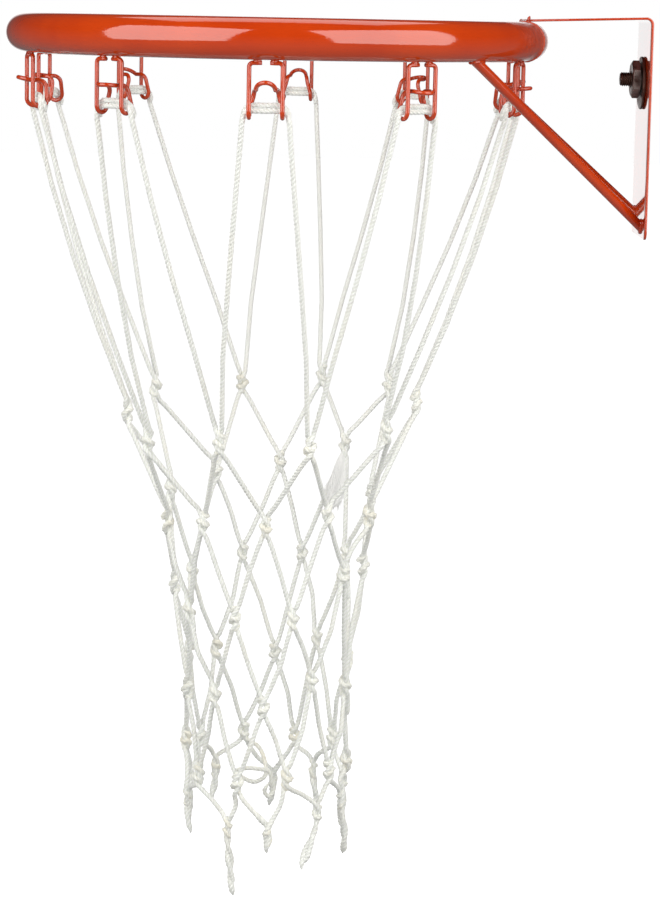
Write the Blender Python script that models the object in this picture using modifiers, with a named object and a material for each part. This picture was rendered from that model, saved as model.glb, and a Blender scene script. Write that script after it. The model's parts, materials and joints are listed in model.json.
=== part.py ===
"""Wall-mounted basketball rim: a round tube ring on a bent plate bracket with two
rod struts, ten bent-wire net hooks, one bolt, and a knotted net of twisted cord.

Units are metres, +Z is up.  The origin is on the bracket's wall face, in the
rim's plane of symmetry, at the height of the ring's centre.  The wall is at +X
and the ring reaches out towards -X.
"""
import math

import bmesh
import bpy
from mathutils import Vector

# ---- driving dimensions -------------------------------------------------
GAP = 0.0003                 # clearance between pieces that touch or are welded

RIM_OUTER_DIAMETER = 0.450
TUBE_DIAMETER = 0.032
TUBE_WALL = 0.002
VENT_DIAMETER = 0.005        # lets the hollow tube breathe while it is coated
VENT_ANGLE = -6.0            # degrees round the ring from the bracket

PLATE_THICKNESS = 0.002
PLATE_WIDTH = 0.084
PLATE_BOTTOM = -0.1615       # the back plate's lower edge
PLATE_BEND_RADIUS = 0.006    # outside radius of the bend
PLATE_CORNER = 0.008
PLATE_RISE = 2.0             # degrees that the top plate climbs towards the wall
PLATE_OVER_CREST = 0.003     # how far the top plate passes over the tube's crest
WALL_FROM_RIM_CENTRE = 0.308

ROD_DIAMETER = 0.008
ROD_TOP_ANGLES = {           # degrees round the ring from the bracket
    "support_strut_left": 40.0,
    "support_strut_right": -44.5,
}
ROD_FEET = {                 # where each rod meets the back plate: (y, z)
    "support_strut_left": (0.0185, -0.1480),
    "support_strut_right": (-0.0135, -0.1560),
}

BOLT_DIAMETER = 0.012
BOLT_HEIGHT = -0.030         # bolt axis, below the ring's centre plane
BOLT_END = 0.0212            # threaded end's distance from the wall face
BOLT_NECK = 0.0125           # square neck in the plate's square hole
WASHER_DIAMETER = 0.044
WASHER_BORE = 0.0184         # loose on the bolt, so the washer hangs low
WASHER_THICKNESS = 0.002
NUT_ACROSS_CORNERS = 0.032
NUT_THICKNESS = 0.0074

WIRE_DIAMETER = 0.0035
HOOK_ANGLES = (15.0, 54.0, 86.0, 131.0, 165.0, 198.5, 233.5, 269.0, 303.0, 340.0)
HOOK_LEG_OFFSET = 0.0126     # half the distance between a hook's two legs
HOOK_STUB_GAP = 0.003        # half the gap between its two welded stubs
HOOK_STUB_BEND = 0.0031
HOOK_TURN_RADIUS = 0.00575   # of the U that holds the net cord
HOOK_TURN_HEIGHT = -0.0535
HOOK_TONGUE_OFFSET = 0.0086
HOOK_TONGUE_BEND = 0.006
HOOK_RISE_TOP = -0.0440
HOOK_TONGUE_REACH = 0.00075  # how far out the tongue's round tip starts
# How much each hook's tongue arches up from its sides to its tip.
HOOK_TONGUE_LIFTS = (0.003, 0.002, 0.0055, 0.0045, 0.001, 0.002, 0.0005, 0.0055, -0.001, 0.001)

CORD_DIAMETER = 0.0042
# Half a cord's way over its hook, as (across, height) in the hook's own plane.
OVER_HOOK = ((0.0, -0.0540), (0.0110, -0.0540), (0.0158, -0.0557), (0.0176, -0.0615))
CORD_PAIR_OFFSET = 0.0024    # each of two cords in a knot, from its middle
KNOT_HALF = 0.008            # half the length of the straight run in a knot
CORD_BOW = 0.006             # how far the stiff cords bow out above the first knots
# Each row: the tied net's radius there, and how deep each of its ten knots lies
# below the ring's centre plane, in millimetres, going round from the bracket.
# Odd rows lie between two hooks and even rows lie under a hook.
NET_ROWS = (
    (0.1210, (299, 299, 308, 306, 315, 328, 318, 321, 315, 302)),
    (0.0885, (385, 351, 372, 379, 384, 401, 392, 390, 382, 392)),
    (0.0790, (441, 449, 450, 457, 458, 468, 469, 468, 437, 440)),
    (0.0695, (524, 517, 534, 526, 519, 539, 534, 541, 523, 536)),
    (0.0675, (598, 605, 601, 596, 588, 606, 605, 599, 600, 604)),
    (0.0675, (631, 629, 644, 628, 632, 630, 642, 644, 632, 630)),
)
# The hanging net has stretched: its size is the tied size times a factor that
# grows with the tied depth.
NET_STRETCH = 0.9947
NET_STRETCH_PER_METRE = 0.0575
# Some knots sit this many degrees further round: {(row, knot): degrees}.
KNOT_TURNS = {(0, 2): -4.5, (1, 1): -9.0, (1, 3): -7.5, (5, 6): 11.0, (5, 7): 4.0, (5, 8): 7.0}
# Under each hook: how deep the two joined cord ends hang, and how far they
# lean round the net, both in millimetres; the depths are before the stretch.
TAIL_DEPTHS = (668, 672, 668, 657, 660, 659, 696, 660, 674, 678)
TAIL_LEANS = (6, -5, 2, 5, -4, 6, 5, -1, -16, 9)
HELD_END = 0.018             # a net loop stops this far above its first knot
LOOSE_START = 0.004          # a net strand starts this far above its first knot

RING_SEGMENTS = 44
TUBE_SEGMENTS = 16
BORE_SEGMENTS = 8
ROUND_SEGMENTS = 32

# ---- worked-out values --------------------------------------------------
RIM_CENTRE = Vector((-WALL_FROM_RIM_CENTRE, 0, 0))
RIM_RADIUS = (RIM_OUTER_DIAMETER - TUBE_DIAMETER) / 2
TUBE_RADIUS = TUBE_DIAMETER / 2
WIRE_RADIUS = WIRE_DIAMETER / 2
BOLT_RADIUS = BOLT_DIAMETER / 2
STUB_HEIGHT = -(TUBE_RADIUS + WIRE_RADIUS + GAP)
NUT_FACE = PLATE_THICKNESS + WASHER_THICKNESS + 2 * GAP
HOOK_COUNT = len(HOOK_ANGLES)


# ---- scene and helpers --------------------------------------------------
def clear_scene():
    for thing in list(bpy.data.objects):
        bpy.data.objects.remove(thing, do_unlink=True)


def new_collection(name):
    group = bpy.data.collections.new(name)
    bpy.context.scene.collection.children.link(group)
    return group


def make_material(name, colour, roughness, metallic):
    material = bpy.data.materials.new(name)
    material.use_nodes = True
    shader = material.node_tree.nodes["Principled BSDF"]
    shader.inputs["Base Color"].default_value = (*colour, 1)
    shader.inputs["Roughness"].default_value = roughness
    shader.inputs["Metallic"].default_value = metallic
    return material


def place(thing, name, group, material=None):
    """Name an object, put it in one collection, and give it its material."""
    thing.name = name
    thing.data.name = name
    for other in list(thing.users_collection):
        other.objects.unlink(thing)
    group.objects.link(thing)
    if material:
        thing.data.materials.append(material)
    return thing


def as_cutter(thing, name):
    place(thing, name, CUTTERS)
    thing.hide_render = True
    thing.display_type = "WIRE"
    return thing


def cut(thing, cutter, operation="DIFFERENCE"):
    modifier = thing.modifiers.new(cutter.name, "BOOLEAN")
    modifier.object = cutter
    modifier.operation = operation
    modifier.solver = "EXACT"


def smooth(thing, degrees=35):
    thing.data.shade_smooth()
    thing.data.set_sharp_from_angle(angle=math.radians(degrees))


def add_torus(minor_radius, minor_segments):
    bpy.ops.mesh.primitive_torus_add(
        major_segments=RING_SEGMENTS,
        minor_segments=minor_segments,
        major_radius=RIM_RADIUS,
        minor_radius=minor_radius,
        location=RIM_CENTRE,
    )
    return bpy.context.object


def add_cylinder(radius, start, end, vertices=ROUND_SEGMENTS):
    """A cylinder whose axis runs from start to end."""
    axis = Vector(end) - Vector(start)
    bpy.ops.mesh.primitive_cylinder_add(
        vertices=vertices,
        radius=radius,
        depth=axis.length,
        location=(Vector(start) + Vector(end)) / 2,
    )
    thing = bpy.context.object
    thing.rotation_mode = "QUATERNION"
    thing.rotation_quaternion = axis.to_track_quat("Z", "Y")
    return thing


def add_box(low, high):
    low, high = Vector(low), Vector(high)
    bpy.ops.mesh.primitive_cube_add(size=1, location=(low + high) / 2)
    thing = bpy.context.object
    thing.scale = high - low
    bpy.ops.object.transform_apply(location=False, rotation=False, scale=True)
    return thing


def turned(profile, name, group, material=None):
    """A solid of revolution from (radius, height) points, listed top to bottom."""
    mesh = bpy.data.meshes.new(name)
    edges = [(i, i + 1) for i in range(len(profile) - 1)]
    mesh.from_pydata([(r, 0, z) for r, z in profile], edges, [])
    thing = bpy.data.objects.new(name, mesh)
    group.objects.link(thing)
    screw = thing.modifiers.new("Screw", "SCREW")
    screw.steps = ROUND_SEGMENTS
    screw.render_steps = ROUND_SEGMENTS
    screw.use_merge_vertices = True
    screw.merge_threshold = 0.00005
    if material:
        mesh.materials.append(material)
    return thing


def round_wire(name, points, diameter, material):
    """A round wire or cord along the points, with filled ends."""
    curve = bpy.data.curves.new(name, "CURVE")
    curve.dimensions = "3D"
    curve.bevel_depth = diameter / 2
    curve.bevel_resolution = 2
    curve.use_fill_caps = True
    spline = curve.splines.new("POLY")
    spline.points.add(len(points) - 1)
    for knot, point in zip(spline.points, points):
        knot.co = (*point, 1)
        knot.radius = 1
    spline.use_smooth = True
    curve.materials.append(material)
    thing = bpy.data.objects.new(name, curve)
    PARTS.objects.link(thing)
    return thing


def at_ring(degrees, across=0.0, out=0.0, height=0.0, radius=RIM_RADIUS):
    """A point given round the ring, sideways and outwards there, and up."""
    angle = math.radians(degrees)
    outward = Vector((math.cos(angle), math.sin(angle), 0))
    sideways = Vector((-math.sin(angle), math.cos(angle), 0))
    return RIM_CENTRE + outward * (radius + out) + sideways * across + Vector((0, 0, height))


def smooth_between(points, i, t):
    """A point on the Catmull-Rom curve through the points, in its i-th span."""
    a = points[max(i - 1, 0)]
    b = points[i]
    c = points[i + 1]
    d = points[min(i + 2, len(points) - 1)]
    return 0.5 * (
        2 * b + (c - a) * t + (2 * a - 5 * b + 4 * c - d) * t**2 + (3 * b - a - 3 * c + d) * t**3
    )


# ---- the welded frame ---------------------------------------------------
def make_rim_ring():
    ring = place(add_torus(TUBE_RADIUS, TUBE_SEGMENTS), "rim_ring", PARTS, ORANGE)
    bore = as_cutter(add_torus(TUBE_RADIUS - TUBE_WALL, BORE_SEGMENTS), "rim_bore_cutter")
    vent_top = at_ring(VENT_ANGLE)
    vent_bottom = at_ring(VENT_ANGLE, height=-TUBE_DIAMETER)
    vent = as_cutter(add_cylinder(VENT_DIAMETER / 2, vent_bottom, vent_top, 12), "rim_vent_cutter")
    cut(ring, bore)
    cut(ring, vent)
    smooth(ring, 40)
    return ring


def bracket_profile():
    """The plate's outer side as (x, z): along the top, round the bend, down the wall."""
    rise = math.radians(PLATE_RISE)
    crest = RIM_CENTRE.x + RIM_RADIUS

    def top_surface(x):
        return TUBE_RADIUS + GAP + PLATE_THICKNESS / math.cos(rise) + (x - crest) * math.tan(rise)

    start = crest - PLATE_OVER_CREST
    bend_x = -PLATE_BEND_RADIUS
    bend_z = top_surface(bend_x) - PLATE_BEND_RADIUS / math.cos(rise)
    points = [(start, top_surface(start))]
    steps = 6
    for i in range(steps + 1):
        angle = (math.pi / 2 + rise) * (1 - i / steps)
        x = bend_x + PLATE_BEND_RADIUS * math.cos(angle)
        z = bend_z + PLATE_BEND_RADIUS * math.sin(angle)
        points.append((x, z))
    points.append((0, PLATE_BOTTOM))
    return points


def make_mounting_bracket():
    """One plate bent into an L, with round corners and a square hole for the bolt."""
    shape = bmesh.new()
    rows = []
    for x, z in bracket_profile():
        rows.append([shape.verts.new((x, y, z)) for y in (-PLATE_WIDTH / 2, PLATE_WIDTH / 2)])
    for first, second in zip(rows, rows[1:]):
        shape.faces.new((first[0], second[0], second[1], first[1]))
    bmesh.ops.bevel(
        shape,
        geom=rows[0] + rows[-1],
        offset=PLATE_CORNER,
        offset_type="OFFSET",
        segments=4,
        profile=0.5,
        affect="VERTICES",
    )
    shape.normal_update()
    mesh = bpy.data.meshes.new("mounting_bracket")
    shape.to_mesh(mesh)
    shape.free()
    bracket = bpy.data.objects.new("mounting_bracket", mesh)
    PARTS.objects.link(bracket)
    mesh.materials.append(ORANGE)
    shell = bracket.modifiers.new("Solidify", "SOLIDIFY")
    shell.thickness = PLATE_THICKNESS
    shell.offset = -1
    half = BOLT_NECK / 2 + GAP
    hole = add_box(
        (-2 * PLATE_THICKNESS, -half, BOLT_HEIGHT - half),
        (PLATE_THICKNESS, half, BOLT_HEIGHT + half),
    )
    cut(bracket, as_cutter(hole, "bolt_hole_cutter"))
    return bracket


def make_support_strut(name, tube_cutter, plate_cutter):
    """A straight rod, saddled to the tube at its top and flush on the back plate."""
    foot_y, foot_z = ROD_FEET[name]
    top = at_ring(ROD_TOP_ANGLES[name], height=-TUBE_RADIUS / 2)
    foot = Vector((PLATE_THICKNESS, foot_y, foot_z))
    rod = place(add_cylinder(ROD_DIAMETER / 2, top, foot, 16), name, PARTS, ORANGE)
    cut(rod, tube_cutter)
    cut(rod, plate_cutter)
    smooth(rod)
    return rod


def make_support_struts():
    tube = as_cutter(add_torus(TUBE_RADIUS + 2 * GAP, TUBE_SEGMENTS), "tube_clearance_cutter")
    wall = add_box(
        (-PLATE_THICKNESS - GAP, -PLATE_WIDTH, PLATE_BOTTOM - PLATE_WIDTH),
        (PLATE_WIDTH, PLATE_WIDTH, 0),
    )
    plate = as_cutter(wall, "plate_clearance_cutter")
    for name in ROD_FEET:
        make_support_strut(name, tube, plate)


# ---- the net hooks ------------------------------------------------------
def arc(centre, radius, start, end, steps):
    """(a, b) points on an arc, from start to end in degrees."""
    found = []
    for i in range(steps + 1):
        angle = math.radians(start + (end - start) * i / steps)
        found.append((centre[0] + radius * math.cos(angle), centre[1] + radius * math.sin(angle)))
    return found


def half_hook(lift_at_tip):
    """(across, out, height) from a stub's end, down a leg, round the U, to the tongue."""
    leg = HOOK_LEG_OFFSET
    tongue = HOOK_TONGUE_OFFSET
    back = -2 * HOOK_TURN_RADIUS
    tongue_height = HOOK_RISE_TOP + HOOK_TONGUE_BEND
    points = [(HOOK_STUB_GAP, 0, STUB_HEIGHT)]
    bend = arc((leg - HOOK_STUB_BEND, STUB_HEIGHT - HOOK_STUB_BEND), HOOK_STUB_BEND, 90, 0, 2)
    points += [(across, 0, height) for across, height in bend]
    turn = arc((-HOOK_TURN_RADIUS, HOOK_TURN_HEIGHT), HOOK_TURN_RADIUS, 0, -180, 4)
    points += [(leg, out, height) for out, height in turn]
    over = arc((back + HOOK_TONGUE_BEND, HOOK_RISE_TOP), HOOK_TONGUE_BEND, 180, 90, 2)
    points += [(tongue, out, height) for out, height in over]
    tip = arc((0, HOOK_TONGUE_REACH), tongue, 0, 60, 2)
    for across, out in tip:
        lift = lift_at_tip * (out - HOOK_TONGUE_REACH) / tongue
        points.append((across, out, tongue_height + lift))
    return points


def make_net_hook(number, degrees):
    """One bent wire: two stubs, two legs with U turns, and a tongue between them."""
    lift = HOOK_TONGUE_LIFTS[number - 1]
    half = half_hook(lift)
    tip_out = HOOK_TONGUE_REACH + HOOK_TONGUE_OFFSET
    tip = (0, tip_out, HOOK_RISE_TOP + HOOK_TONGUE_BEND + lift)
    mirrored = [(-across, out, height) for across, out, height in reversed(half)]
    points = [at_ring(degrees, *place_at) for place_at in half + [tip] + mirrored]
    return round_wire(f"net_hook_{number:02d}", points, WIRE_DIAMETER, ORANGE)


# ---- the fastener -------------------------------------------------------
def make_mounting_bolt():
    """A bolt whose square neck ends flush in the plate, its thread towards the ring."""
    chamfer = 0.001
    profile = [
        (0, -2 * GAP),
        (BOLT_RADIUS, -2 * GAP),
        (BOLT_RADIUS, chamfer - BOLT_END),
        (BOLT_RADIUS - chamfer, -BOLT_END),
        (0, -BOLT_END),
    ]
    bolt = turned(profile, "mounting_bolt", PARTS, STEEL)
    bolt.rotation_euler = (0, math.pi / 2, 0)
    bolt.location = (0, 0, BOLT_HEIGHT)
    half = BOLT_NECK / 2
    neck = add_box(
        (-PLATE_THICKNESS, -half, BOLT_HEIGHT - half),
        (-GAP, half, BOLT_HEIGHT + half),
    )
    cut(bolt, as_cutter(neck, "bolt_neck_cutter"), "UNION")
    return bolt


def make_flat_washer():
    """A wide washer whose large bore rests on top of the bolt."""
    drop = WASHER_BORE / 2 - BOLT_RADIUS - GAP
    height = BOLT_HEIGHT - drop
    near = -PLATE_THICKNESS - GAP
    far = near - WASHER_THICKNESS
    disc = add_cylinder(WASHER_DIAMETER / 2, (far, 0, height), (near, 0, height))
    washer = place(disc, "flat_washer", PARTS, STEEL)
    bore = add_cylinder(WASHER_BORE / 2, (2 * far, 0, height), (0, 0, height))
    cut(washer, as_cutter(bore, "washer_bore_cutter"))
    smooth(washer)
    return washer


def make_hex_nut():
    start = (-NUT_FACE, 0, BOLT_HEIGHT)
    end = (-NUT_FACE - NUT_THICKNESS, 0, BOLT_HEIGHT)
    block = add_cylinder(NUT_ACROSS_CORNERS / 2, start, end, 6)
    nut = place(block, "hex_nut", PARTS, STEEL)
    bore = add_cylinder(
        BOLT_RADIUS + GAP,
        (0, 0, BOLT_HEIGHT),
        (-2 * BOLT_END, 0, BOLT_HEIGHT),
    )
    cut(nut, as_cutter(bore, "nut_bore_cutter"))
    return nut


# ---- the net ------------------------------------------------------------
def over_hook(index):
    """(across, out, height) of half a net loop, from the hook's middle to its side."""
    out = -HOOK_TURN_RADIUS
    return [
        at_ring(HOOK_ANGLES[index], across, out, height)
        for across, height in OVER_HOOK
    ]


def knot_angle(row, index):
    """Rows 0, 2 and 4 lie halfway to the next hook, and the others under a hook."""
    angle = HOOK_ANGLES[index]
    if row % 2 == 0:
        following = HOOK_ANGLES[index + 1] if index + 1 < HOOK_COUNT else HOOK_ANGLES[0] + 360
        angle = (angle + following) / 2
    return angle + KNOT_TURNS.get((row, index), 0)


def hung(row, tied_depth):
    """The hanging net's radius and height, from a row and a tied depth in millimetres."""
    depth = tied_depth / 1000
    stretch = NET_STRETCH + NET_STRETCH_PER_METRE * depth
    return NET_ROWS[row][0] * stretch, -depth * stretch


def in_knot(row, index, side, above):
    """Where one cord passes a knot: side is +1 for a hook's cord on its far side round."""
    if row % 2:
        knot, across = index, side * CORD_PAIR_OFFSET
    else:
        knot, across = (index if side > 0 else (index - 1) % HOOK_COUNT), -side * CORD_PAIR_OFFSET
    radius, height = hung(row, NET_ROWS[row][1][knot])
    return at_ring(knot_angle(row, knot), across, 0, above + height, radius)


def knotted_route(index, side):
    """One cord from its first knot down to its joined end."""
    points = [in_knot(0, index, side, LOOSE_START), in_knot(0, index, side, -KNOT_HALF)]
    for row in range(1, len(NET_ROWS)):
        points += [in_knot(row, index, side, KNOT_HALF), in_knot(row, index, side, -KNOT_HALF)]
    last = len(NET_ROWS) - 1
    radius, height = hung(last, TAIL_DEPTHS[index])
    across = side * CORD_PAIR_OFFSET + TAIL_LEANS[index] / 1000
    points.append(at_ring(knot_angle(last, index), across, 0, height, radius))
    return points


def smoothed_cord(points):
    """The route with one more point, on a smooth curve, in each of its long spans."""
    found = []
    for i, point in enumerate(points[:-1]):
        found.append(point)
        if (points[i + 1] - point).length > 3 * KNOT_HALF:
            found.append(smooth_between(points, i, 0.5))
    found.append(points[-1])
    return found


def bowed_span(start, end):
    """Three points on the way from start to end, bowed away from the net's axis."""
    found = []
    for share in (0.25, 0.5, 0.75):
        point = start.lerp(end, share)
        outward = Vector((point.x - RIM_CENTRE.x, point.y, 0)).normalized()
        found.append(point + outward * (4 * CORD_BOW * share * (1 - share)))
    return found


def make_net_loop(index):
    """The cord's middle, doubled over its hook, down to just above the first knots."""
    sides = {}
    for side in (-1, 1):
        down = [point.copy() for point in over_hook(index)]
        if side < 0:
            middle = at_ring(HOOK_ANGLES[index], 0, -HOOK_TURN_RADIUS, 0)
            mirrored = at_ring(HOOK_ANGLES[index], 1, -HOOK_TURN_RADIUS, 0) - middle
            down = [point - 2 * mirrored * (point - middle).dot(mirrored) for point in down]
        knot = in_knot(0, index, side, KNOT_HALF)
        bow = bowed_span(down[-1], knot)
        last = knot + (bow[-1] - knot).normalized() * (HELD_END - KNOT_HALF)
        sides[side] = down + bow + [last]
    points = list(reversed(sides[-1]))[:-1] + sides[1]
    return round_wire(f"net_loop_{index + 1:02d}", points, CORD_DIAMETER, CORD)


def make_net_strands(index):
    for side, word in ((-1, "a"), (1, "b")):
        points = smoothed_cord(knotted_route(index, side))
        round_wire(f"net_strand_{index + 1:02d}_{word}", points, CORD_DIAMETER, CORD)


clear_scene()
PARTS = new_collection("basketball_rim")
CUTTERS = new_collection("cutters")
ORANGE = make_material("orange_powder_coat", (0.68, 0.085, 0.008), 0.22, 0.0)
STEEL = make_material("dark_steel", (0.06, 0.035, 0.03), 0.45, 0.9)
CORD = make_material("white_cord", (0.82, 0.82, 0.78), 0.85, 0.0)

make_rim_ring()
make_mounting_bracket()
make_support_struts()
for order, hook_angle in enumerate(HOOK_ANGLES):
    make_net_hook(order + 1, hook_angle)
    make_net_loop(order)
    make_net_strands(order)
make_mounting_bolt()
make_flat_washer()
make_hex_nut()
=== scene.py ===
"""Looks for the wall-mounted basketball rim: fine metal pieces, real weld beads and
threads, and a net of three-strand cord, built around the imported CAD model.

Units are metres, +Z is up, in the CAD's frame: the wall is at +X, the ring reaches
out towards -X, and the camera looks along +Y.
"""

import json
import math
import random

import bmesh
import bpy
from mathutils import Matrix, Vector, noise

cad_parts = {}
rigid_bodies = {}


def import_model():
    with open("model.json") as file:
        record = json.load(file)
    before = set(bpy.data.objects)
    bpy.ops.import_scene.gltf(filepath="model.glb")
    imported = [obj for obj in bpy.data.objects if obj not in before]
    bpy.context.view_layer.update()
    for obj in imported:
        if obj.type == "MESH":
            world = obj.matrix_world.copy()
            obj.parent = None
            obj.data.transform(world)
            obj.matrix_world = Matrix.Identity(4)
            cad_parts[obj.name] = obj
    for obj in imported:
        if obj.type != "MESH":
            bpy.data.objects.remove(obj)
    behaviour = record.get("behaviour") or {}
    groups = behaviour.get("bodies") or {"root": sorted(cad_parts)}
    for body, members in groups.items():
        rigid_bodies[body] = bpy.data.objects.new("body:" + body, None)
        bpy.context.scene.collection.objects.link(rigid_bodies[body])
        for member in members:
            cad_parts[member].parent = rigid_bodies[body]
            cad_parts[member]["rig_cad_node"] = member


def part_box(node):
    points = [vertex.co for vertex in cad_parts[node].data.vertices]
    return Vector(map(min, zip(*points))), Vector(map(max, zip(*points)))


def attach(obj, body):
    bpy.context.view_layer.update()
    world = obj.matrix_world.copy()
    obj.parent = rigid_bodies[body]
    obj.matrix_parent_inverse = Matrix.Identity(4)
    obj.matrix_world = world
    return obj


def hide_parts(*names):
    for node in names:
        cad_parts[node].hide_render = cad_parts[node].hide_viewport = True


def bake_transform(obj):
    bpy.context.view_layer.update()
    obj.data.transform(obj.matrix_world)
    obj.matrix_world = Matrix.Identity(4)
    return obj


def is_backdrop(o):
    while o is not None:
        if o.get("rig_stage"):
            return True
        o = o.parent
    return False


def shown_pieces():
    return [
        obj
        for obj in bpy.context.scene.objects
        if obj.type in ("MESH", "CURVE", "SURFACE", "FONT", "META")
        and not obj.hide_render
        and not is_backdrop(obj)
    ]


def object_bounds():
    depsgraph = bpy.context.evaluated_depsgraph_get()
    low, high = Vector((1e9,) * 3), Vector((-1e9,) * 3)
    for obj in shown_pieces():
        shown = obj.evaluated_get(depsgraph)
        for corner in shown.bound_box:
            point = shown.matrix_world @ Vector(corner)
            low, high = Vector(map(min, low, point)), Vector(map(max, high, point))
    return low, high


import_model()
cad_low, cad_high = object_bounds()

# ---- dimensions from the frame ------------------------------------------
RING_LOW, RING_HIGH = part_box("rim_ring")
RIM_CENTRE = (RING_LOW + RING_HIGH) / 2
TUBE_RADIUS = (RING_HIGH.z - RING_LOW.z) / 2
RIM_RADIUS = (RING_HIGH.x - RING_LOW.x) / 2 - TUBE_RADIUS
PLATE_LOW, PLATE_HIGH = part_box("mounting_bracket")
BOLT_LOW, BOLT_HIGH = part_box("mounting_bolt")
WASHER_LOW, WASHER_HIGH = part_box("flat_washer")
NUT_LOW, NUT_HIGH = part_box("hex_nut")
BOLT_HEIGHT = (NUT_LOW.z + NUT_HIGH.z) / 2

# ---- dimensions that repeat the CAD's -----------------------------------
GAP = 0.0003
VENT_RADIUS = 0.0025
VENT_ANGLE = -6.0
PLATE_THICKNESS = 0.002
PLATE_BEND_RADIUS = 0.006
PLATE_CORNER = 0.008
PLATE_RISE = 2.0
PLATE_OVER_CREST = 0.003
ROD_RADIUS = 0.004
ROD_TOP_ANGLES = {"support_strut_left": 40.0, "support_strut_right": -44.5}
ROD_FEET = {
    "support_strut_left": (0.0185, -0.1480),
    "support_strut_right": (-0.0135, -0.1560),
}
BOLT_RADIUS = 0.006
BOLT_NECK = 0.0125
WASHER_BORE_RADIUS = 0.0092

WIRE_RADIUS = 0.00175
HOOK_ANGLES = (15.0, 54.0, 86.0, 131.0, 165.0, 198.5, 233.5, 269.0, 303.0, 340.0)
HOOK_LEG_OFFSET = 0.0126
HOOK_STUB_GAP = 0.003
HOOK_STUB_BEND = 0.0031
HOOK_TURN_RADIUS = 0.00575
HOOK_TURN_HEIGHT = -0.0535
HOOK_TONGUE_OFFSET = 0.0086
HOOK_TONGUE_BEND = 0.006
HOOK_RISE_TOP = -0.0440
HOOK_TONGUE_REACH = 0.00075
HOOK_TONGUE_LIFTS = (0.003, 0.002, 0.0055, 0.0045, 0.001, 0.002, 0.0005, 0.0055, -0.001, 0.001)
STUB_HEIGHT = -(TUBE_RADIUS + WIRE_RADIUS + GAP)

CORD_PAIR_OFFSET = 0.0024
KNOT_HALF = 0.008
CORD_BOW = 0.006
NET_ROWS = (
    (0.1210, (299, 299, 308, 306, 315, 328, 318, 321, 315, 302)),
    (0.0885, (385, 351, 372, 379, 384, 401, 392, 390, 382, 392)),
    (0.0790, (441, 449, 450, 457, 458, 468, 469, 468, 437, 440)),
    (0.0695, (524, 517, 534, 526, 519, 539, 534, 541, 523, 536)),
    (0.0675, (598, 605, 601, 596, 588, 606, 605, 599, 600, 604)),
    (0.0675, (631, 629, 644, 628, 632, 630, 642, 644, 632, 630)),
)
NET_STRETCH = 0.9947
NET_STRETCH_PER_METRE = 0.0575
TAIL_DEPTHS = (668, 672, 668, 657, 660, 659, 696, 660, 674, 678)
TAIL_LEANS = (6, -5, 2, 5, -4, 6, 5, -1, -16, 9)
KNOT_TURNS = {(0, 2): -4.5, (1, 1): -9.0, (1, 3): -7.5, (5, 6): 11.0, (5, 7): 4.0, (5, 8): 7.0}
HOOK_COUNT = len(HOOK_ANGLES)
# Half a cord's way over its hook, as (across, height) in the hook's own plane.
OVER_HOOK = ((0.0, -0.0540), (0.0110, -0.0540), (0.0158, -0.0557), (0.0176, -0.0615))

# ---- finer dimensions of the looks --------------------------------------
CORD_RADIUS = 0.0023         # to the strands' crests; the CAD's plain tube has 0.0021
CORD_STEP = 0.0011           # between a cord's cross-sections
CORD_SIDES = 12              # four to each of its three strands
CORD_LAY = 0.0108            # one full turn of the three strands
CORD_GROOVE = 0.54           # 0 would be a plain round cord
CORD_SLACK = 0.0032          # sideways bend of a cord between two knots...
SLACK_TOP = -0.32            # ...which starts below this height...
SLACK_FADE = 0.16            # ...and is full this much lower
STRAIGHT_AFTER = 0.013       # a cord runs straight this far from a knot
KNOT_WIND = 0.012            # half the height over which two cords wind in a knot
KNOT_TIGHT = 0.80            # how far the cords' middles close up there
CORD_PAINTED_GLOW = 0.16             # painted light: a glow of the cord's own, standing in for its brightener and its translucence
TAIL_LENGTH = 0.040          # of a cord end's own shape
TAIL_LAY = 0.034             # one full turn of two joined ends
TAIL_TIGHT = 0.52            # how far the cords of a joined end close up
THREAD_PITCH = 0.00175
THREAD_DEPTH = 0.00075
# Each cut cord end that hangs beside a knot: the knot's row and number, its length.
LOOSE_ENDS = ((2, 5, 0.026), (2, 8, 0.018), (3, 9, 0.022), (4, 3, 0.018))
FRAYED_FILAMENTS = 150
FRAYED_LENGTHS = (0.034, 0.056)
FRAYED_RADIUS = 0.00038
BUTT_WELD_ANGLE = -15.2      # degrees round the ring from the bracket
BURNT_ANGLE = -19.0          # middle of the rough patch by that weld
BEAD_RADIUS = 0.0012         # of the beads at the struts' ends

# ---- camera and light ---------------------------------------------------
CAMERA_LENS = 90.0
CAMERA_SHIFT = -0.195
CAMERA_RIGHT = 0.0432        # of the ring's centre
CAMERA_AWAY = 1.89
CAMERA_HEIGHT = 0.016
CAMERA_PITCH = 6.5           # degrees below level
CAMERA_ROLL = -1.1
BACKDROP_LIGHT = 1.45
SOFTBOX_COLOUR = (1.0, 0.99, 0.96)
# Each panel: azimuth, elevation, distance, width, height, radiance.
SOFTBOXES = {
    "softbox_left": (-43, 16, 1.7, 1.75, 2.1, 2.6),
    "softbox_right": (48, 16, 1.7, 1.75, 2.1, 2.6),
    "top_panel": (180, 70, 1.8, 1.6, 1.2, 1.4),
}
FLOOR_HALF = 14.0
FLOOR_BELOW = 0.25           # under the lowest cord end


# ---- mesh helpers -------------------------------------------------------
def add_object(name, data):
    thing = bpy.data.objects.new(name, data)
    bpy.context.scene.collection.objects.link(thing)
    return thing


def add_piece(name, points, faces, material, body=None):
    """A smooth mesh object, riding on a body when one is given."""
    mesh = bpy.data.meshes.new(name)
    mesh.from_pydata([tuple(p) for p in points], [], faces)
    mesh.materials.append(material)
    mesh.shade_smooth()
    piece = add_object(name, mesh)
    if body:
        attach(piece, body)
    return piece


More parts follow.
